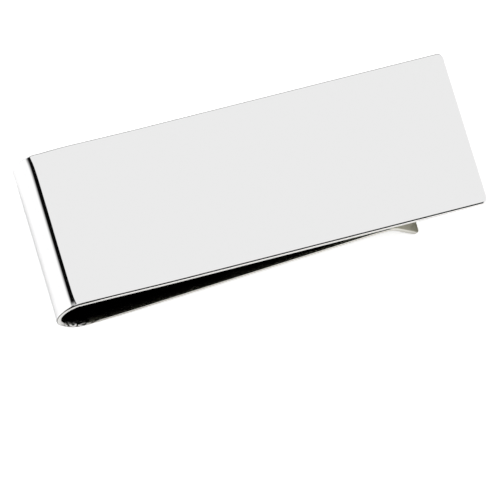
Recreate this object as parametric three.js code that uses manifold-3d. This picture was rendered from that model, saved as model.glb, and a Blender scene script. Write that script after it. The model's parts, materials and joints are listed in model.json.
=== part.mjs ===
// A spring money clip: one strip of silver bent into a hairpin. Millimetres, +Z up.
// It lies as it does on a table, on the bottom of its bow and the tip of its lip, and the
// origin is on the table under the middle of its outline. The face plate's free end is at +X.
import * as THREE from "three";
import { mergeVertices } from "three/addons/utils/BufferGeometryUtils.js";
import Module from "manifold-3d";

// Driving dimensions. Angles are in degrees.
const clipLength = 50.8; // outside of the bow to the free end of the face plate
const stripWidth = 19.5;
const stripThickness = 0.64;
const edgeRadius = 0.2; // rounding of the strip's four long edges
const faceCornerRadius = 1.0; // plan rounding of the face plate's free corners
const bowRadius = 3.25; // outside of the bow, so the clip is twice this deep
const shoulderTurn = 62; // share of the bow that belongs to the face plate's side
const crownTurn = 64; // share of the bow between the shoulder and the heel
const legAngle = 8.5; // lean of the leg towards the face plate
const legRootLength = 8.0; // stretch of the leg that belongs to the bow's side
const landBendRadius = 6.0; // soft bend that brings the leg parallel to the face plate
const landLength = 0.8; // flat stretch that presses on the face plate
const landGap = 0.1; // clearance between the land and the face plate
const lipBendRadius = 1.4;
const lipAngle = 47.0; // flare of the lip away from the face plate
const lipLength = 3.7;
const lipCornerRadius = 0.5; // plan rounding of the lip's corners
const flexSlot = 0.06; // slot between the two zones on either side of a flexing place

// Fineness of the curves
const edgeSegments = 3;
const cornerSegments = 10;
const degreesPerStep = 4;

// Derived sizes
const radians = THREE.MathUtils.degToRad;
const halfThickness = stripThickness / 2;
const bowMidRadius = bowRadius - halfThickness;
const slotTurn = flexSlot / bowMidRadius;
const heelTurn = radians(180 + legAngle - shoulderTurn - crownTurn) - slotTurn;
const legStartZ = -bowRadius - bowMidRadius * Math.cos(radians(legAngle));
const landZ = -stripThickness - landGap - halfThickness;
const landBendRise = landBendRadius * (1 - Math.cos(radians(legAngle)));
const legLength = (landZ - legStartZ - landBendRise) / Math.sin(radians(legAngle));

const wasm = await Module();
wasm.setup();

// The strip is described by its middle line in the XZ plane: straight stretches and arcs.
const straight = (length) => ({ length, turn: 0 });
const arc = (radius, turn) => ({ length: radius * Math.abs(turn), turn });
const slot = straight(flexSlot);
const bowSlot = arc(bowMidRadius, slotTurn);

// Place and heading after following part of a stretch: the chord of an arc leaves at half its turn.
function follow(pose, stretch, part = 1) {
  const halfTurn = (stretch.turn * part) / 2;
  const length = stretch.length * part;
  const chord = halfTurn === 0 ? length : (length * Math.sin(halfTurn)) / halfTurn;
  return {
    x: pose.x + chord * Math.cos(pose.heading + halfTurn),
    z: pose.z + chord * Math.sin(pose.heading + halfTurn),
    heading: pose.heading + 2 * halfTurn,
  };
}

// The middle line of one zone, as a curve that a section can be swept along.
class MiddleLine extends THREE.Curve {
  constructor(start, stretches) {
    super();
    this.start = start;
    this.stretches = stretches;
    this.total = stretches.reduce((sum, stretch) => sum + stretch.length, 0);
  }

  poseAt(t) {
    let pose = this.start;
    let left = t * this.total;
    for (const stretch of this.stretches) {
      pose = follow(pose, stretch, Math.min(1, left / stretch.length));
      left -= stretch.length;
      if (left <= 0) break;
    }
    return pose;
  }

  getPoint(t, target = new THREE.Vector3()) {
    const pose = this.poseAt(t);
    return target.set(pose.x, 0, pose.z);
  }

  // The section's width stays along Y, and its thickness square to the middle line.
  computeFrenetFrames(segments) {
    const headings = Array.from({ length: segments + 1 }, (_, i) => this.poseAt(i / segments).heading);
    return {
      tangents: headings.map((h) => new THREE.Vector3(Math.cos(h), 0, Math.sin(h))),
      normals: headings.map(() => new THREE.Vector3(0, 1, 0)),
      binormals: headings.map((h) => new THREE.Vector3(-Math.sin(h), 0, Math.cos(h))),
    };
  }
}

// The strip's section: a flat rectangle with rounded corners.
function stripSection() {
  const x = stripWidth / 2 - edgeRadius;
  const y = halfThickness - edgeRadius;
  const section = new THREE.Shape();
  section.absarc(x, -y, edgeRadius, -Math.PI / 2, 0);
  section.absarc(x, y, edgeRadius, 0, Math.PI / 2);
  section.absarc(-x, y, edgeRadius, Math.PI / 2, Math.PI);
  section.absarc(-x, -y, edgeRadius, Math.PI, (3 * Math.PI) / 2);
  return section;
}

function sweep(start, stretches) {
  const path = new MiddleLine(start, stretches);
  const sharpest = Math.max(...stretches.map((stretch) => Math.abs(stretch.turn) / stretch.length));
  const steps = Math.max(1, Math.ceil((path.total * sharpest) / radians(degreesPerStep)));
  return new THREE.ExtrudeGeometry(stripSection(), {
    steps,
    curveSegments: edgeSegments,
    extrudePath: path,
  });
}

function solidFrom(geometry) {
  const bare = geometry.clone();
  bare.deleteAttribute("normal");
  bare.deleteAttribute("uv");
  const merged = mergeVertices(bare, 1e-4);
  return new wasm.Manifold(
    new wasm.Mesh({
      numProp: 3,
      vertProperties: new Float32Array(merged.attributes.position.array),
      triVerts: new Uint32Array(merged.index.array),
    }),
  );
}

function geometryFrom(solid) {
  const mesh = solid.getMesh();
  const indexed = new THREE.BufferGeometry();
  indexed.setAttribute("position", new THREE.BufferAttribute(mesh.vertProperties, 3));
  indexed.setIndex(new THREE.BufferAttribute(mesh.triVerts, 1));
  const faceted = indexed.toNonIndexed();
  faceted.computeVertexNormals();
  return faceted;
}

const trimAllowance = 0.5; // length left on a strip's end for the rounding cut to take off

// Trims a strip square at x = 0 of its own end and rounds both corners there in plan.
// end is the place of the strip's end, heading outwards.
function roundEnd(geometry, end, cornerRadius) {
  const reach = 2; // how far the cutter passes the strip on every side
  const side = stripWidth / 2;
  const waste = new THREE.Shape();
  waste.moveTo(-cornerRadius, -side);
  waste.absarc(-cornerRadius, -side + cornerRadius, cornerRadius, -Math.PI / 2, 0);
  waste.absarc(-cornerRadius, side - cornerRadius, cornerRadius, 0, Math.PI / 2);
  waste.lineTo(-cornerRadius, side + reach);
  waste.lineTo(reach, side + reach);
  waste.lineTo(reach, -side - reach);
  waste.lineTo(-cornerRadius, -side - reach);
  const cutter = new THREE.ExtrudeGeometry(waste, {
    depth: 2 * reach,
    bevelEnabled: false,
    curveSegments: cornerSegments,
  });
  cutter.translate(0, 0, -reach);
  cutter.rotateY(-end.heading);
  cutter.translate(end.x, 0, end.z);
  return geometryFrom(solidFrom(geometry).subtract(solidFrom(cutter)));
}

const outsideSilver = new THREE.MeshStandardMaterial({ color: 0xf1efea, metalness: 1, roughness: 0.06 });
const springSilver = new THREE.MeshStandardMaterial({ color: 0xd9d6cc, metalness: 1, roughness: 0.12 });

const strip = new THREE.Group();

function addZone(name, geometry, material) {
  const mesh = new THREE.Mesh(geometry, material);
  mesh.name = name;
  strip.add(mesh);
}

// Adds a zone that follows the strip from pose, and gives the place where the zone ends.
function addSweptZone(name, pose, stretches, material) {
  addZone(name, sweep(pose, stretches), material);
  return stretches.reduce((place, stretch) => follow(place, stretch), pose);
}

function addFacePlate() {
  const start = { x: clipLength + trimAllowance, z: -halfThickness, heading: Math.PI };
  const plate = sweep(start, [straight(clipLength + trimAllowance - bowRadius)]);
  const end = { x: clipLength, z: -halfThickness, heading: 0 };
  addZone("face_plate", roundEnd(plate, end, faceCornerRadius), outsideSilver);
}

function addBow() {
  let pose = { x: bowRadius, z: -halfThickness, heading: Math.PI };
  pose = addSweptZone("bow_shoulder", pose, [arc(bowMidRadius, radians(shoulderTurn))], outsideSilver);
  pose = follow(pose, bowSlot);
  pose = addSweptZone("bow_crown", pose, [arc(bowMidRadius, radians(crownTurn))], outsideSilver);
  return addSweptZone("bow_heel", pose, [arc(bowMidRadius, heelTurn)], outsideSilver);
}

function addLeg(start) {
  let pose = addSweptZone("leg_root", start, [straight(legRootLength)], springSilver);
  pose = follow(pose, slot);
  const rest = legLength - legRootLength - flexSlot;
  pose = addSweptZone("spring_leg", pose, [straight(rest)], springSilver);
  const landBend = arc(landBendRadius, -radians(legAngle));
  return addSweptZone("pinch_land", pose, [landBend, straight(landLength)], springSilver);
}

// The lip ends the strip, so its far end is rounded. Gives the place of that end.
function addLip(start) {
  const lipBend = arc(lipBendRadius, -radians(lipAngle));
  const lip = sweep(start, [lipBend, straight(lipLength + trimAllowance)]);
  const end = follow(follow(start, lipBend), straight(lipLength));
  addZone("entry_lip", roundEnd(lip, end, lipCornerRadius), springSilver);
  return end;
}

addFacePlate();
const lipEnd = addLip(addLeg(addBow()));

// At rest the bow's outside, an arc about bowCentre, touches the table together with the lower
// edge of the lip's end.
function restTilt() {
  const bowCentre = { x: bowRadius, z: -bowRadius };
  const lipEdge = {
    x: lipEnd.x + halfThickness * Math.sin(lipEnd.heading),
    z: lipEnd.z - halfThickness * Math.cos(lipEnd.heading),
  };
  const across = lipEdge.x - bowCentre.x;
  const up = lipEdge.z - bowCentre.z;
  return Math.asin(bowRadius / Math.hypot(across, up)) + Math.atan2(up, across);
}

const tilt = restTilt();
const clip = new THREE.Group();
strip.rotation.y = tilt;
clip.add(strip);

// Sets the tilted strip on z = 0 with the middle of its outline over the origin.
const outline = new THREE.Box3().setFromObject(strip, true);
const middle = outline.getCenter(new THREE.Vector3());
strip.position.set(-middle.x, -middle.y, -outline.min.z);

export default clip;
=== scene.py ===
import json
import math

import bmesh
import bpy
import numpy as np
from mathutils import Matrix, Vector


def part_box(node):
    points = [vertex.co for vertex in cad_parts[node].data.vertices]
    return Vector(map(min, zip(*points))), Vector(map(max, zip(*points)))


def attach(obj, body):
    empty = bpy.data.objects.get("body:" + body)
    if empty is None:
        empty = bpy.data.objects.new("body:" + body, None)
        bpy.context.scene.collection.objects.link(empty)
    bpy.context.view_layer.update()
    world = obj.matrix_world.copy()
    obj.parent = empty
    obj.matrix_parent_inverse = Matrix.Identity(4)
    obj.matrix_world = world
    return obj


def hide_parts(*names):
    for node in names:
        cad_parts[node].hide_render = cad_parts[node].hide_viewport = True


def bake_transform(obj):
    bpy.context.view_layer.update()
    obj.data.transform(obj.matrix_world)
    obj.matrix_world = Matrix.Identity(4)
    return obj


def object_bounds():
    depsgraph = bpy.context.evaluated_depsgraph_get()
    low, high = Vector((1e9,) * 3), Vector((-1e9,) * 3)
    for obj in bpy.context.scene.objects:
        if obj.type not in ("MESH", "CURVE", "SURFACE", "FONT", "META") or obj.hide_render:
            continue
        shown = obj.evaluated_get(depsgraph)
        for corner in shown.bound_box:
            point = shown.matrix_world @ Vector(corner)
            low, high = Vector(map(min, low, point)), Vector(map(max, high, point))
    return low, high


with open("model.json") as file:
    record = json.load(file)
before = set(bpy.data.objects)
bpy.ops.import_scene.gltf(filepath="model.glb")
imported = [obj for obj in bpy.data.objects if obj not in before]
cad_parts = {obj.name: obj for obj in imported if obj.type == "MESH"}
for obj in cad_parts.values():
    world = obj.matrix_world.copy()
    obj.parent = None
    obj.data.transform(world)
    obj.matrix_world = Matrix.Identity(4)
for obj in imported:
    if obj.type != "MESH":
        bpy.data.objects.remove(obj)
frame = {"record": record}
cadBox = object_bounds()
print("frame loaded")

# The clip is one strip of sterling silver. Lengths here are in millimetres and angles in degrees.
# A place on it is (s, y, h): s along the middle of its thickness from the face plate's free end,
# y across it, and h from the middle of its thickness, positive on the outside of the clip.
strip = {
    "clipLength": 50.8,
    "thickness": 0.64,
    "edgeRound": 0.2,
    "bowRadius": 3.25,  # outside of the bow
    "shoulderTurn": 62.0,
    "crownTurn": 64.0,
    "legAngle": 8.5,
    "legRootLength": 8.0,
    "landBendRadius": 6.0,
    "landLength": 0.8,
    "landGap": 0.1,
    "lipBendRadius": 1.4,
    "lipAngle": 47.0,
    "lipLength": 3.7,
}

millimetre = 0.001
halfThick = strip["thickness"] / 2
faceLow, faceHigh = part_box("face_plate")
halfWide = (faceHigh.y - faceLow.y) / 2 / millimetre
bowMid = strip["bowRadius"] - halfThick
lean = math.radians(strip["legAngle"])
legStartZ = -strip["bowRadius"] - bowMid * math.cos(lean)
landZ = -strip["thickness"] - strip["landGap"] - halfThick
legRise = landZ - legStartZ - strip["landBendRadius"] * (1 - math.cos(lean))
lipTurn = math.radians(strip["lipAngle"])

# One line for each stretch of the strip: its length and how far it turns.
stretches = np.array([
    (strip["clipLength"] - strip["bowRadius"], 0),
    (bowMid * (math.pi + lean), math.pi + lean),
    (legRise / math.sin(lean), 0),
    (strip["landBendRadius"] * lean, -lean),
    (strip["landLength"], 0),
    (strip["lipBendRadius"] * lipTurn, -lipTurn),
    (strip["lipLength"], 0),
])
stretchEnd = np.cumsum(stretches[:, 0])
stretchStart = stretchEnd - stretches[:, 0]
headingStart = math.pi + np.cumsum(stretches[:, 1]) - stretches[:, 1]
chords = stretches[:, 0] * np.sinc(stretches[:, 1] / 2 / math.pi)
chordHeading = headingStart + stretches[:, 1] / 2
startX = strip["clipLength"] + np.cumsum(chords * np.cos(chordHeading)) - chords * np.cos(chordHeading)
startZ = -halfThick + np.cumsum(chords * np.sin(chordHeading)) - chords * np.sin(chordHeading)

# Where each piece of the strip begins and ends.
bowStart = stretchEnd[0]
crownStart = bowStart + bowMid * math.radians(strip["shoulderTurn"])
heelStart = crownStart + bowMid * math.radians(strip["crownTurn"])
legStart = stretchEnd[1]
leafStart = legStart + strip["legRootLength"]
landStart = stretchEnd[2]
lipStart = stretchEnd[4]
stripEnd = stretchEnd[6]
pinchedAt = strip["clipLength"] - strip["bowRadius"] - legRise / math.tan(lean)  # over the leg's end

# The face plate leans as the clip lies on a table: its outer face is square to the mount's axis.
mount = frame["record"]["mounts"][0]
leanSin, leanCos = mount["axis"][0], mount["axis"][2]
shiftX = faceHigh.x / millimetre - strip["clipLength"] * leanCos
shiftZ = mount["pos_m"][2] / millimetre + (mount["pos_m"][0] / millimetre - shiftX) * leanSin / leanCos


# From the face plate's own plane to the frame, in metres: a turn about Y, then a shift.
def toFrame(x, y, z):
    turned = (x * leanCos + z * leanSin + shiftX, y, -x * leanSin + z * leanCos + shiftZ)
    return np.stack(np.broadcast_arrays(*turned), -1) * millimetre


# The strip's middle line: the start of the stretch that s lies in, plus a chord that leaves at
# half the turn made so far.
def middleLine(s):
    k = np.clip(np.searchsorted(stretchStart, s, side="right") - 1, 0, len(stretches) - 1)
    run = s - stretchStart[k]
    turn = stretches[k, 1] * run / stretches[k, 0]
    chord = run * np.sinc(turn / 2 / math.pi)
    heading = headingStart[k] + turn / 2
    return startX[k] + chord * np.cos(heading), startZ[k] + chord * np.sin(heading), headingStart[k] + turn


# A smooth step from 0 at low to 1 at high.
def ease(value, low, high):
    t = np.clip((value - low) / (high - low), 0, 1)
    return t * t * (3 - 2 * t)


# Rises from 0 to 1 between the first two of four places along the strip, and falls back to 0
# between the last two.
def between(s, fades):
    return ease(s, fades[0], fades[1]) * (1 - ease(s, fades[2], fades[3]))


# Sum of plane waves over (s, y), each with its own direction, wavelength and phase.
def waves(s, y, settings):
    rng = np.random.default_rng(settings["seed"])
    count = settings["count"]
    length = rng.uniform(settings["shortest"], settings["longest"], count)
    way = rng.uniform(-settings["fan"], settings["fan"], count)
    phase = rng.uniform(0, 2 * math.pi, count)
    share = length / settings["longest"]
    total = np.zeros(np.shape(s))
    for i in range(count):
        along = s * math.cos(way[i]) + y * math.sin(way[i])
        total += share[i] * np.cos(2 * math.pi * along / length[i] + phase[i])
    return settings["height"] * total / math.sqrt(count)


# Marks of the making. Wavelengths, heights and reaches are in millimetres, and the fades are the
# four places that between() takes.
handwork = {
    "buffing": {"seed": 3, "count": 12, "shortest": 5.0, "longest": 14.0, "fan": 3.1, "height": 0.0012},
    "bend": {"seed": 11, "count": 8, "shortest": 3.0, "longest": 9.0, "fan": 0.5, "height": 0.004},
    "bendFades": (bowStart + 0.3, bowStart + 1.5, legStart - 1.5, legStart + 3.0),
    "wrinkle": {"seed": 5, "count": 16, "shortest": 0.35, "longest": 1.1, "fan": 0.9, "height": 0.045},
    "wrinkleFades": (heelStart - 2.0, heelStart + 1.0, legStart, legStart + 2.5),
    "wrinkleReach": 0.7,
    "curl": 0.1,  # the rims of a bent strip curl outwards a little
    "curlFades": (bowStart, bowStart + 1.0, heelStart - 1.5, heelStart + 0.5),
    "curlReach": 0.7,
    "askew": 0.11,  # the bend was made a little to one side
    "askewFades": (bowStart - 12.0, bowStart, heelStart, legStart + 6.0),
    "dressed": (bowStart - 3.5, bowStart + 0.5),  # where the far rim comes back into line
    "taper": 0.1,  # filed off the far rim towards the free end
    "innerFace": halfThick - 0.05,  # depth under the middle that counts as the inner face
}


# How far the real surface stands off the true one. The whole strip has long shallow waves from the
# buffing wheel. The bow adds its bend's own waves, a curl of both rims, and wrinkles along the inner
# rims where the heel was squeezed. Curl and wrinkles die away from a rim as an exponential.
def handmade(s, y, h):
    inner = ease(-h, 0, handwork["innerFace"])
    fromRim = np.abs(y) - halfWide
    curled = np.exp(fromRim / handwork["curlReach"]) * between(s, handwork["curlFades"])
    squeezed = np.exp(fromRim / handwork["wrinkleReach"]) * between(s, handwork["wrinkleFades"])
    raised = waves(s, y, handwork["buffing"])
    raised += waves(s, y, handwork["bend"]) * between(s, handwork["bendFades"]) * (1 - inner)
    raised += handwork["curl"] * curled
    return raised + waves(s, y, handwork["wrinkle"]) * squeezed * inner


# A place on the strip in the frame: the middle line's point, plus h along the outward normal. The
# strip swings to one side as it nears the bow, where its far rim comes back into line, and the far
# rim is filed in towards the free end.
def onStrip(s, y, h):
    x, z, heading = middleLine(s)
    reach = h + handmade(s, y, h)
    farShare = (1 + y / halfWide) / 2
    swing = between(s, handwork["askewFades"]) * (1 - ease(s, *handwork["dressed"]) * farShare)
    filed = np.clip(1 - s / bowStart, 0, 1) * farShare
    across = y + handwork["askew"] * swing - handwork["taper"] * filed
    return toFrame(x + reach * np.sin(heading), across, z - reach * np.cos(heading))


# How finely the strip's section is drawn. A hold is a narrow face on the flat beside a rounding or
# a seam, which keeps the shading of the one off the other.
section = {"flat": 44, "round": 10, "wall": 4, "hold": 0.015, "holdShare": 0.002, "seamHold": 0.002}


# Lengths along the strip: even steps, no longer than step in a straight stretch or turnStep
# degrees in a bend, with a hold at each end so that neighbours meet with one shading.
def rowsBetween(first, last, step, turnStep):
    hold = section["seamHold"]
    rows = [np.array([first])]
    for (length, turn), start, end in zip(stretches, stretchStart, stretchEnd):
        low, high = max(first, start), min(last, end)
        if high - low < hold:
            continue
        turned = math.degrees(abs(turn)) * (high - low) / length
        count = max(1, math.ceil((high - low) / step), math.ceil(turned / turnStep))
        rows.append(np.linspace(low, high, count + 1)[1:])
    rows = np.concatenate(rows)
    return np.concatenate([rows[:1], rows[:1] + hold, rows[1:-1], rows[-1:] - hold, rows[-1:]])


# Insets and heights round one long edge, from the outer face to the inner: a quarter circle, the
# straight wall, and a quarter circle back.
def edgeProfile():
    r = strip["edgeRound"]
    angle = np.linspace(0, math.pi / 2, section["round"] + 1)
    inset, height = r - r * np.sin(angle), halfThick - r + r * np.cos(angle)
    wall = np.linspace(halfThick - r, r - halfThick, section["wall"] + 1)[1:-1]
    insets = np.concatenate([inset, np.zeros(len(wall)), inset[::-1]])
    return insets, np.concatenate([height, wall, -height[::-1]])


# A mesh of corners in the frame and faces. Its stripPlace attribute keeps each corner's (s, y, h).
def meshFrom(name, corners, faces, places):
    mesh = bpy.data.meshes.new(name)
    mesh.from_pydata(corners.reshape(-1, 3).tolist(), [], faces)
    mesh.attributes.new("stripPlace", "FLOAT_VECTOR", "POINT").data.foreach_set(
        "vector", places.astype(np.float32).ravel())
    return mesh


join = {"within": 2e-7, "tooSmall": 1e-8, "sharpFrom": 40.0}  # metres, metres, degrees


# Joins doubled corners, drops what has no area, points every face outwards and rounds the shading
# except where the surface turns a real corner.
def finishedPiece(name, mesh):
    work = bmesh.new()
    work.from_mesh(mesh)
    bmesh.ops.remove_doubles(work, verts=work.verts, dist=join["within"])
    bmesh.ops.dissolve_degenerate(work, edges=work.edges, dist=join["tooSmall"])
    bmesh.ops.recalc_face_normals(work, faces=work.faces)
    work.to_mesh(mesh)
    openEdges = sum(not edge.is_manifold for edge in work.edges)
    work.free()
    mesh.shade_smooth()
    mesh.set_sharp_from_angle(angle=math.radians(join["sharpFrom"]))
    piece = bpy.data.objects.new(name, mesh)
    bpy.context.scene.collection.objects.link(piece)
    print(f"{name}: {len(mesh.polygons)} faces, {openEdges} open edges")
    return piece


# A length of the strip: its section, a flat rectangle with rounded edges, carried along the middle
# line from one length to another, and closed at both ends.
def bandPiece(name, settings):
    insets, heights = edgeProfile()
    reach = halfWide - strip["edgeRound"] - section["hold"]
    flat = np.linspace(reach, -reach, section["flat"] + 1)
    face = np.full(len(flat), halfThick)
    y = np.concatenate([flat, insets - halfWide, -flat, halfWide - insets[::-1]])
    h = np.concatenate([face, heights, -face, heights[::-1]])
    rows = rowsBetween(settings["from"], settings["to"], settings["step"], settings["turnStep"])
    s, y = np.meshgrid(rows, y, indexing="ij")
    h = np.broadcast_to(h, y.shape)
    index = np.arange(s.size).reshape(s.shape)
    near = np.roll(index, -1, axis=1)
    quads = np.stack([index[:-1], index[1:], near[1:], near[:-1]], -1).reshape(-1, 4)
    faces = quads.tolist() + [index[0].tolist(), index[-1][::-1].tolist()]
    return finishedPiece(name, meshFrom(name, onStrip(s, y, h), faces, np.stack([s, y, h], -1)))


# The outline of an end of the strip: down one side, round the tip with rounded corners, and back.
# Its places are (a, y), with a measured from the tip, and (outA, outY) points outwards there.
def tongueOutline(settings):
    corner, seam, tip = settings["corner"], settings["seam"], settings["tip"]
    rows = rowsBetween(min(seam, tip), max(seam, tip), settings["step"], settings["turnStep"])
    away = np.sort(np.abs(rows - tip))[::-1]
    side = np.append(away[away > corner + settings["cornerClear"]], corner)
    bend = np.linspace(0, math.pi / 2, settings["cornerSegments"] + 1)[1:]
    across = np.linspace(halfWide - corner, 0, section["flat"] // 2 + 1)[1:]
    a = np.concatenate([side, corner - corner * np.sin(bend), np.zeros(len(across))])
    y = np.concatenate([np.full(len(side), halfWide), halfWide - corner + corner * np.cos(bend), across])
    outA = np.concatenate([np.zeros(len(side)), -np.sin(bend), -np.ones(len(across))])
    outY = np.concatenate([np.ones(len(side)), np.cos(bend), np.zeros(len(across))])
    a, outA = np.append(a, a[-2::-1]), np.append(outA, outA[-2::-1])
    y, outY = np.append(y, -y[-2::-1]), np.append(outY, -outY[-2::-1])
    return a[:, None], y[:, None], outA[:, None], outY[:, None]


# An end of the strip. The edge's profile is carried along the outline. On both faces straight lines
# run from the outline to a spine down the middle, which stops short of the tip.
def tonguePiece(name, settings):
    a, y, outA, outY = tongueOutline(settings)
    insets, heights = edgeProfile()
    rimA, rimY = a - outA * insets, y - outY * insets
    share = np.append(np.linspace(0, 1, section["flat"] // 2 + 1)[:-1], 1 - section["holdShare"])
    spineA = np.maximum(a, settings["spineStop"])
    faceA, faceY = spineA + (rimA[:, :1] - spineA) * share, rimY[:, :1] * share
    backA, backY = spineA + (rimA[:, -1:] - spineA) * share[::-1], rimY[:, -1:] * share[::-1]
    a, y = np.concatenate([faceA, rimA, backA], 1), np.concatenate([faceY, rimY, backY], 1)
    face = np.full(len(share), halfThick)
    h = np.broadcast_to(np.concatenate([face, heights, -face]), a.shape)
    s = settings["tip"] + np.sign(settings["seam"] - settings["tip"]) * a
    index = np.arange(s.size).reshape(s.shape)
    quads = np.stack([index[:-1, :-1], index[1:, :-1], index[1:, 1:], index[:-1, 1:]], -1).reshape(-1, 4)
    faces = quads.tolist() + [index[0].tolist() + index[-1][-2:0:-1].tolist()]
    return finishedPiece(name, meshFrom(name, onStrip(s, y, h), faces, np.stack([s, y, h], -1)))


facePlate = {"tip": 0.0, "seam": bowStart, "corner": 0.75, "cornerSegments": 16, "cornerClear": 0.02,
             "spineStop": 2.5, "step": 0.5, "turnStep": 1.0}
bowShoulder = {"from": bowStart, "to": crownStart, "step": 0.5, "turnStep": 0.5}
bowCrown = {"from": crownStart, "to": heelStart, "step": 0.5, "turnStep": 0.5}
bowHeel = {"from": heelStart, "to": legStart, "step": 0.5, "turnStep": 0.5}
legRoot = {"from": legStart, "to": leafStart, "step": 0.1, "turnStep": 0.5}
springLeg = {"from": leafStart, "to": landStart, "step": 0.4, "turnStep": 0.5}
pinchLand = {"from": landStart, "to": lipStart, "step": 0.2, "turnStep": 0.25}
entryLip = {"tip": stripEnd, "seam": lipStart, "corner": 0.5, "cornerSegments": 16, "cornerClear": 0.02,
            "spineStop": 2.0, "step": 0.15, "turnStep": 1.0}

pieces = {
    "face_plate": tonguePiece("clipFacePlate", facePlate),
    "bow_shoulder": bandPiece("clipBowShoulder", bowShoulder),
    "bow_crown": bandPiece("clipBowCrown", bowCrown),
    "bow_heel": bandPiece("clipBowHeel", bowHeel),
    "leg_root": bandPiece("clipLegRoot", legRoot),
    "spring_leg": bandPiece("clipSpringLeg", springLeg),
    "pinch_land": bandPiece("clipPinchLand", pinchLand),
    "entry_lip": tonguePiece("clipEntryLip", entryLip),
}
print("strip made")


# Adds one node, with its settings, and its inputs either linked or set, and gives its outputs.
def addNode(tree, kind, inputs=(), **settings):
    node = tree.nodes.new(kind)
    for key, value in settings.items():
        setattr(node, key, value)
    for key, value in dict(inputs).items():
        if isinstance(value, bpy.types.NodeSocket):
            tree.links.new(value, node.inputs[key])
        else:
            node.inputs[key].default_value = value
    return node.outputs


# sRGB hex to linear colour.
def colour(text):
    part = np.array([int(text[i:i + 2], 16) for i in (1, 3, 5)]) / 255
    linear = np.where(part <= 0.04045, part / 12.92, ((part + 0.055) / 1.055) ** 2.4)
    return (*linear.tolist(), 1.0)


smooth = {"interpolation_type": "SMOOTHSTEP"}

# What both silvers share. A band gives the places, in millimetres, where it begins and where it is
# full. A stretch or scale is the noise's own count per millimetre, and fades run along the strip.
finish = {
    "rim": (halfWide - 0.12, halfWide - 0.04),
    "handled": (halfWide - 0.9, halfWide - 0.2),
    "inner": (0.0, 0.05 - halfThick),
    "hairTurns": ((0.35, 1.0), (-0.9, 7.0), (1.35, 13.0)),  # each with its seed
    "hairStretch": (0.045, 0.33, 0.3),
    "hairWidth": 0.007,
    "hairPatch": 5.0,  # times the hairs' own count
    "hairKept": (0.54, 0.62),
    "fileStretch": (6.5, 0.6, 0.9),
    "smudgeScale": 0.13,
    "cloudScale": 0.45,
    "cloudRange": (0.35, 0.7),
    # Painted shade deep in the fold, and in the heel's creases, in the one dark colour below.
    "foldShadeFades": (pinchedAt - 2.0, pinchedAt + 4.0, lipStart, lipStart + 1.6),
    "paintedShadeColour": "#26241F",
    # A painted dark reflection along the outer rims of the bend.
    "rimReflectionFades": (bowStart - 3.5, bowStart - 0.5, heelStart - 0.5, heelStart + 1.5),
    "rimReflectionBand": (halfThick - 0.16, halfThick - 0.1),
    "rimReflectionColour": "#55534E",
    "crushFades": (heelStart - 1.5, heelStart + 0.5, legStart, legStart + 2.5),
    "crushBand": (halfThick - 0.2, -0.1),
    "crushRough": 0.3,
    "creaseTurn": 0.5,
    "creaseStretch": (1.6, 4.5, 4.0),
    "creaseRange": (0.47, 0.53),
    "fileDepth": 0.8,  # against 1 for a hair scratch
}


# The product of several masks.
def overlap(tree, *masks):
    shared = masks[0]
    for mask in masks[1:]:
        shared = addNode(tree, "ShaderNodeMath", {0: shared, 1: mask}, operation="MULTIPLY")[0]
    return shared


# The mask that rises and falls along the strip as between() does.
def alongStrip(tree, along, fades):
    rise = addNode(tree, "ShaderNodeMapRange", {0: along, 1: fades[0], 2: fades[1]}, **smooth)[0]
    fall = addNode(tree, "ShaderNodeMapRange", {0: along, 1: fades[2], 2: fades[3], 3: 1.0, 4: 0.0},
                   **smooth)[0]
    return overlap(tree, rise, fall)


# Masks of where a point lies on the strip: on a rim or off it, in the band just inside the rims or
# off it, and on the inner face.
def stripMasks(tree, place):
    along, across, height = addNode(tree, "ShaderNodeSeparateXYZ", {0: place})
    side = addNode(tree, "ShaderNodeMath", {0: across}, operation="ABSOLUTE")[0]
    masks = {"place": place, "along": along, "height": height}
    for name, value in (("rim", side), ("handled", side), ("inner", height)):
        low, high = finish[name]
        masks[name] = addNode(tree, "ShaderNodeMapRange", {0: value, 1: low, 2: high}, **smooth)[0]
    for name in ("rim", "handled"):
        rest = addNode(tree, "ShaderNodeMath", {0: 1.0, 1: masks[name]}, operation="SUBTRACT")[0]
        masks["off " + name] = rest
    return masks


# Hair scratches a few millimetres long, in three directions: where a stretched noise crosses its
# middle value, kept only in patches. They are 0.05 mm wide, coarser than real ones, so that they show.
def hairScratches(tree, masks):
    hairs = 0.0
    for turn, seed in finish["hairTurns"]:
        turned = addNode(tree, "ShaderNodeMapping", {"Vector": masks["place"], "Location": (seed, seed, 0),
                         "Rotation": (0, 0, turn), "Scale": finish["hairStretch"]})[0]
        field = addNode(tree, "ShaderNodeTexNoise", {"Vector": turned, "Scale": 1.0, "Detail": 1.0})[0]
        off = addNode(tree, "ShaderNodeMath", {0: field, 1: 0.5}, operation="SUBTRACT")[0]
        near = addNode(tree, "ShaderNodeMath", {0: off}, operation="ABSOLUTE")[0]
        line = addNode(tree, "ShaderNodeMapRange", {0: near, 1: 0.0, 2: finish["hairWidth"], 3: 1.0,
                       4: 0.0})[0]
        patch = addNode(tree, "ShaderNodeTexNoise", {"Vector": turned, "Scale": finish["hairPatch"],
                        "Detail": 0.0})[0]
        low, high = finish["hairKept"]
        kept = addNode(tree, "ShaderNodeMapRange", {0: patch, 1: low, 2: high})[0]
        scratch = overlap(tree, line, kept)
        hairs = addNode(tree, "ShaderNodeMath", {0: hairs, 1: scratch}, operation="MAXIMUM")[0]
    return hairs


# File marks across the rims, 0.15 mm apart: coarser than real ones, so that they show.
def fileMarks(tree, masks):
    way = addNode(tree, "ShaderNodeMapping", {"Vector": masks["place"], "Scale": finish["fileStretch"]})[0]
    marks = addNode(tree, "ShaderNodeTexNoise", {"Vector": way, "Scale": 1.0, "Detail": 2.0})[0]
    return overlap(tree, marks, masks["rim"])


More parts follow.
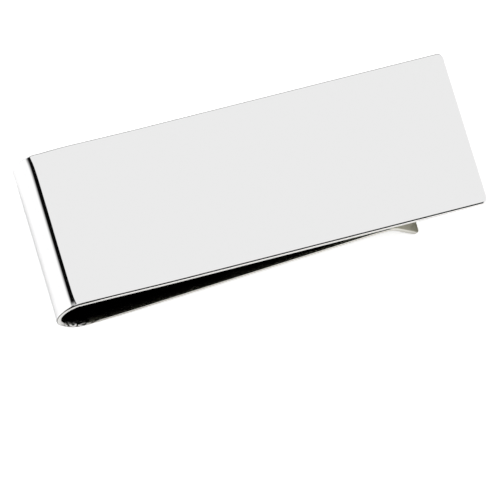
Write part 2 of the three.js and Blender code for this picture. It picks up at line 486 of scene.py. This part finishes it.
# Tarnish on the inner face, in cloudy patches 2 mm across. The rims stay clean.
def tarnishFilm(tree, masks, look):
    cloud = addNode(tree, "ShaderNodeTexNoise", {"Vector": masks["place"], "Scale": finish["cloudScale"],
                    "Detail": 5.0})[0]
    low, high = finish["cloudRange"]
    film = addNode(tree, "ShaderNodeMapRange", {0: cloud, 1: low, 2: high, 3: look["filmLeast"],
                   4: look["filmMost"]})[0]
    return overlap(tree, film, overlap(tree, masks["inner"], masks["off rim"]))


# Painted shade deep in the fold between the leg's end and the plate, kept off a band along the rims.
def foldShade(tree, masks):
    fold = alongStrip(tree, masks["along"], finish["foldShadeFades"])
    return overlap(tree, fold, masks["off handled"], masks["inner"])


# A painted dark reflection along the outer roundings of the rims in the bend, in a line 0.1 mm wide.
def rimReflectionLine(tree, masks):
    bend = alongStrip(tree, masks["along"], finish["rimReflectionFades"])
    low, high = finish["rimReflectionBand"]
    outer = addNode(tree, "ShaderNodeMapRange", {0: masks["height"], 1: low, 2: high}, **smooth)[0]
    return overlap(tree, bend, overlap(tree, outer, masks["rim"]))


# The metal crushed along the inner rims of the heel: where it is dull, and painted shade in its
# creases, 0.2 mm apart.
def crushedMetalAndShade(tree, masks):
    heel = alongStrip(tree, masks["along"], finish["crushFades"])
    low, high = finish["crushBand"]
    lower = addNode(tree, "ShaderNodeMapRange", {0: masks["height"], 1: low, 2: high}, **smooth)[0]
    dull = overlap(tree, heel, masks["handled"], lower)
    way = addNode(tree, "ShaderNodeMapping", {"Vector": masks["place"],
                  "Rotation": (0, 0, finish["creaseTurn"]), "Scale": finish["creaseStretch"]})[0]
    field = addNode(tree, "ShaderNodeTexNoise", {"Vector": way, "Scale": 1.0, "Detail": 3.0})[0]
    low, high = finish["creaseRange"]
    creaseShade = addNode(tree, "ShaderNodeMapRange", {0: field, 1: low, 2: high})[0]
    return dull, overlap(tree, creaseShade, dull)


# Sterling silver. The outside is buffed to a mirror: it shows the studio sharply, with a few hair
# scratches from handling and soft finger smudges. The rims were filed and burnished, so they are a
# shade softer, with short marks across them. The wheel doesn't reach the inside, which has a thin
# yellow-grey tarnish. Painted shade darkens the fold and the heel's creases, and a painted dark
# reflection runs along the outer rims of the bend.
def silver(name, look):
    material = bpy.data.materials.new(name)
    material.use_nodes = True
    tree = material.node_tree
    shader = tree.nodes["Principled BSDF"]
    shader.inputs["Metallic"].default_value = 1.0
    masks = stripMasks(tree, addNode(tree, "ShaderNodeAttribute", attribute_name="stripPlace")["Vector"])
    hairs, marks = hairScratches(tree, masks), fileMarks(tree, masks)
    tarnish = tarnishFilm(tree, masks, look)
    # Dull where the heel was crushed, and painted shade in its creases.
    dull, creaseShade = crushedMetalAndShade(tree, masks)

    # Rim wear and tarnish are the silver's own colours. The next three layers are painted: shade in the
    # fold, a dark reflection along the outer rims of the bend, and shade in the heel's creases.
    shade = colour(look["metal"])
    for mask, tint in ((masks["rim"], look["rim"]), (tarnish, look["tarnish"]),
                       (foldShade(tree, masks), finish["paintedShadeColour"]),
                       (rimReflectionLine(tree, masks), finish["rimReflectionColour"]),
                       (creaseShade, finish["paintedShadeColour"])):
        shade = addNode(tree, "ShaderNodeMix", {0: mask, 6: shade, 7: colour(tint)}, data_type="RGBA")[2]
    tree.links.new(shade, shader.inputs["Base Color"])

    smudge = addNode(tree, "ShaderNodeTexNoise", {"Vector": masks["place"], "Scale": finish["smudgeScale"],
                     "Detail": 3.0})[0]
    low, high = finish["cloudRange"]
    rough = addNode(tree, "ShaderNodeMapRange", {0: smudge, 1: low, 2: high, 3: look["smooth"],
                    4: look["smudged"]})[0]
    for mask, amount in ((hairs, look["hairRough"]), (marks, look["rimRough"]),
                         (tarnish, look["filmRough"]), (dull, finish["crushRough"])):
        rough = addNode(tree, "ShaderNodeMath", {0: mask, 1: amount, 2: rough}, operation="MULTIPLY_ADD")[0]
    tree.links.new(rough, shader.inputs["Roughness"])

    depth = addNode(tree, "ShaderNodeMath", {0: marks, 1: finish["fileDepth"], 2: hairs},
                    operation="MULTIPLY_ADD")[0]
    bump = addNode(tree, "ShaderNodeBump", {"Height": depth, "Strength": 1.0,
                   "Distance": look["scratchDepth"]}, invert=True)[0]
    tree.links.new(bump, shader.inputs["Normal"])
    return material


buffed = silver("Sterling silver, buffed to a mirror", {
    "metal": "#F9F9F9", "rim": "#F1F0ED", "tarnish": "#A39B84", "filmLeast": 0.15, "filmMost": 0.5,
    "smooth": 0.03, "smudged": 0.045, "hairRough": 0.07, "rimRough": 0.1, "filmRough": 0.15,
    "scratchDepth": 2e-7,
})
bright = silver("Sterling silver, bright, tarnished inside", {
    "metal": "#F4F2EC", "rim": "#E4E2DA", "tarnish": "#878572", "filmLeast": 0.8, "filmMost": 1.0,
    "smooth": 0.05, "smudged": 0.08, "hairRough": 0.09, "rimRough": 0.2, "filmRough": 0.22,
    "scratchDepth": 4e-7,
})

outside = ("face_plate", "bow_shoulder", "bow_crown", "bow_heel")
for node, piece in pieces.items():
    piece.data.materials.append(buffed if node in outside else bright)
    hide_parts(node)
print("silver finished")

# Where the strip would bend. The bow between two depths under the outer face, taken bowIn from the
# outside of the bow, and the leg between two lengths along it. Nothing below bends the strip: the
# bow and leg pieces stay where they were made.
flex = {"bowIn": 3.0, "bowFrom": 1.0, "bowTo": 5.45, "legFrom": 0.5, "legTo": 16.0}
for key in ("legFrom", "legTo"):
    x, z, heading = middleLine(np.array([legStart + flex[key]]))
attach(pieces["face_plate"], "face")
for node in ("bow_shoulder", "bow_crown", "bow_heel"):
    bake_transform(pieces[node])
for node in ("leg_root", "spring_leg"):
    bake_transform(pieces[node])
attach(pieces["pinch_land"], "leg")
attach(pieces["entry_lip"], "leg")
print("pieces ride on their bodies")


# White paper, uncoated and matte: it scatters light evenly, with no shine. It has a little light of
# its own where it is seen directly, which keeps it a clean white.
def whitePaper(look):
    material = bpy.data.materials.new("White paper, matte")
    material.use_nodes = True
    tree = material.node_tree
    shader = tree.nodes["Principled BSDF"]
    shader.inputs["Base Color"].default_value = colour(look["colour"])
    shader.inputs["Roughness"].default_value = 1.0
    shader.inputs["Specular IOR Level"].default_value = 0.0
    shader.inputs["Emission Color"].default_value = colour("#FFFFFF")
    seen = addNode(tree, "ShaderNodeLightPath")["Is Camera Ray"]
    glow = addNode(tree, "ShaderNodeMath", {0: seen, 1: look["glow"]}, operation="MULTIPLY")[0]
    tree.links.new(glow, shader.inputs["Emission Strength"])
    return material


sheet = {"edge": 2.0, "colour": "#F2F2F2", "glow": 0.6}  # edge is metres out from the middle
edge = sheet["edge"]
floorMesh = bpy.data.meshes.new("paperFloor")
corners = [(-edge, -edge, 0), (edge, -edge, 0), (edge, edge, 0), (-edge, edge, 0)]
floorMesh.from_pydata(corners, [], [(0, 1, 2, 3)])
floorMesh.materials.append(whitePaper(sheet))
floor = bpy.data.objects.new("paperFloor", floorMesh)
bpy.context.scene.collection.objects.link(floor)
print("paper laid")

# The studio, by direction: a wide soft panel overhead, a screen at the right and one at the back,
# and white walls all round the table. It is black between them and round the camera, which draws
# the dark lines along the bow and the edges. Places are parts of a direction of length 1.
studio = {
    "panelLow": 0.815, "panelSoft": 0.01, "panelLight": 0.876,
    "cameraSide": -0.05, "cameraSoft": 0.04,
    "asideFrom": 0.3, "asideTo": 0.45, "asideLight": 0.9,
    "rearFrom": 0.72, "rearTo": 0.82, "rearLight": 0.8,
    "widenFrom": -0.2, "widenTo": -0.35, "widen": 0.25,
    "wallFront": 0.02, "wallBack": 0.45, "wallRise": (-0.6, 0.0), "wallSoft": 0.2, "wallLight": 1.06,
    "sideLift": 0.29, "sideFrom": 0.35, "sideTo": 0.65, "sideFade": (-0.25, 0.15),
    "dark": 0.002, "background": 1.0,
}


# The walls: white up to a soft top edge, which rises from the front to the back, and again towards
# the two back corners.
def wallGlow(tree, axis):
    low, high = studio["wallRise"]
    edgeHeight = addNode(tree, "ShaderNodeMapRange", {0: axis[1], 1: low, 2: high, 3: studio["wallFront"],
                         4: studio["wallBack"]})[0]
    sideways = addNode(tree, "ShaderNodeMath", {0: axis[0]}, operation="ABSOLUTE")[0]
    lift = addNode(tree, "ShaderNodeMapRange", {0: sideways, 1: studio["sideFrom"], 2: studio["sideTo"],
                   4: studio["sideLift"]})[0]
    low, high = studio["sideFade"]
    backward = addNode(tree, "ShaderNodeMapRange", {0: axis[1], 1: low, 2: high})[0]
    top = addNode(tree, "ShaderNodeMath", {0: lift, 1: backward, 2: edgeHeight},
                  operation="MULTIPLY_ADD")[0]
    above = addNode(tree, "ShaderNodeMath", {0: axis[2], 1: top}, operation="SUBTRACT")[0]
    return addNode(tree, "ShaderNodeMapRange", {0: above, 1: -studio["wallSoft"], 2: 0.0,
                   3: studio["wallLight"], 4: studio["dark"]}, **smooth)[0]


# The panel overhead, which stops short of the camera's side.
def panelGlow(tree, axis):
    overhead = addNode(tree, "ShaderNodeMapRange", {0: axis[2], 1: studio["panelLow"],
                       2: studio["panelLow"] + studio["panelSoft"], 4: studio["panelLight"]}, **smooth)[0]
    behind = addNode(tree, "ShaderNodeMapRange", {0: axis[1], 1: studio["cameraSide"],
                     2: studio["cameraSide"] + studio["cameraSoft"]}, **smooth)[0]
    return overlap(tree, overhead, behind)


# The screens at the right and at the back. The one at the back is wider on the left.
def screenGlow(tree, axis):
    aside = addNode(tree, "ShaderNodeMapRange", {0: axis[0], 1: studio["asideFrom"], 2: studio["asideTo"],
                    4: studio["asideLight"]}, **smooth)[0]
    wider = addNode(tree, "ShaderNodeMapRange", {0: axis[0], 1: studio["widenFrom"], 2: studio["widenTo"],
                    4: studio["widen"]})[0]
    rearward = addNode(tree, "ShaderNodeMath", {0: axis[1], 1: wider}, operation="ADD")[0]
    rear = addNode(tree, "ShaderNodeMapRange", {0: rearward, 1: studio["rearFrom"], 2: studio["rearTo"],
                   4: studio["rearLight"]}, **smooth)[0]
    return addNode(tree, "ShaderNodeMath", {0: aside, 1: rear}, operation="MAXIMUM")[0]


world = bpy.data.worlds.new("softStudio")
bpy.context.scene.world = world
world.use_nodes = True
studioTree = world.node_tree
direction = addNode(studioTree, "ShaderNodeTexCoord")["Generated"]
axis = addNode(studioTree, "ShaderNodeSeparateXYZ", {0: direction})
lit = wallGlow(studioTree, axis)
for glow in (panelGlow(studioTree, axis), screenGlow(studioTree, axis)):
    lit = addNode(studioTree, "ShaderNodeMath", {0: lit, 1: glow}, operation="MAXIMUM")[0]
seen = addNode(studioTree, "ShaderNodeLightPath")["Is Camera Ray"]
shown = addNode(studioTree, "ShaderNodeMix", {0: seen, 2: lit, 3: studio["background"]})[0]
backdrop = studioTree.nodes["Background"]
backdrop.inputs["Color"].default_value = colour("#FFFFFF")
studioTree.links.new(shown, backdrop.inputs["Strength"])

# A fill light that whitens the paper and isn't seen in the silver.
fill = {"strength": 2.7, "angle": 120.0, "tilt": 28.0}
fillLight = bpy.data.lights.new("paperFill", "SUN")
fillLight.energy = fill["strength"]
fillLight.angle = math.radians(fill["angle"])
fillObject = bpy.data.objects.new("paperFill", fillLight)
fillObject.visible_glossy = False
fillObject.rotation_euler = (0, math.radians(fill["tilt"]), 0)
bpy.context.scene.collection.objects.link(fillObject)
print("studio lit")

# The camera looks down at the clip through a long lens. Angles are in degrees, the aim, distance
# and lens in millimetres, and what is nearest and farthest in metres.
view = {"azimuth": -9.2082, "elevation": 67.3528, "roll": -6.9195, "right": -0.0533, "up": -7.0725,
        "distance": 1500.0, "lens": 949.38, "sensor": 36.0, "nearest": 0.01, "farthest": 10.0}
azimuth, elevation, roll = (math.radians(view[key]) for key in ("azimuth", "elevation", "roll"))
level = Vector((math.cos(azimuth), math.sin(azimuth), 0))
outward = Vector((math.sin(azimuth), -math.cos(azimuth), 0))
back = outward * math.cos(elevation) + Vector((0, 0, 1)) * math.sin(elevation)
upright = back.cross(level)
right = level * math.cos(roll) + upright * math.sin(roll)
up = upright * math.cos(roll) - level * math.sin(roll)
centre = (cadBox[0] + cadBox[1]) / 2
spot = centre + (right * view["right"] + up * view["up"] + back * view["distance"]) * millimetre
cameraData = bpy.data.cameras.new("studioCamera")
cameraData.sensor_width = view["sensor"]
cameraData.lens = view["lens"]
cameraData.clip_start = view["nearest"]
cameraData.clip_end = view["farthest"]
camera = bpy.data.objects.new("studioCamera", cameraData)
camera.matrix_world = Matrix.Translation(spot) @ Matrix((right, up, back)).transposed().to_4x4()
bpy.context.scene.collection.objects.link(camera)
bpy.context.scene.camera = camera
bpy.context.scene.view_settings.view_transform = "Standard"
print("camera placed")
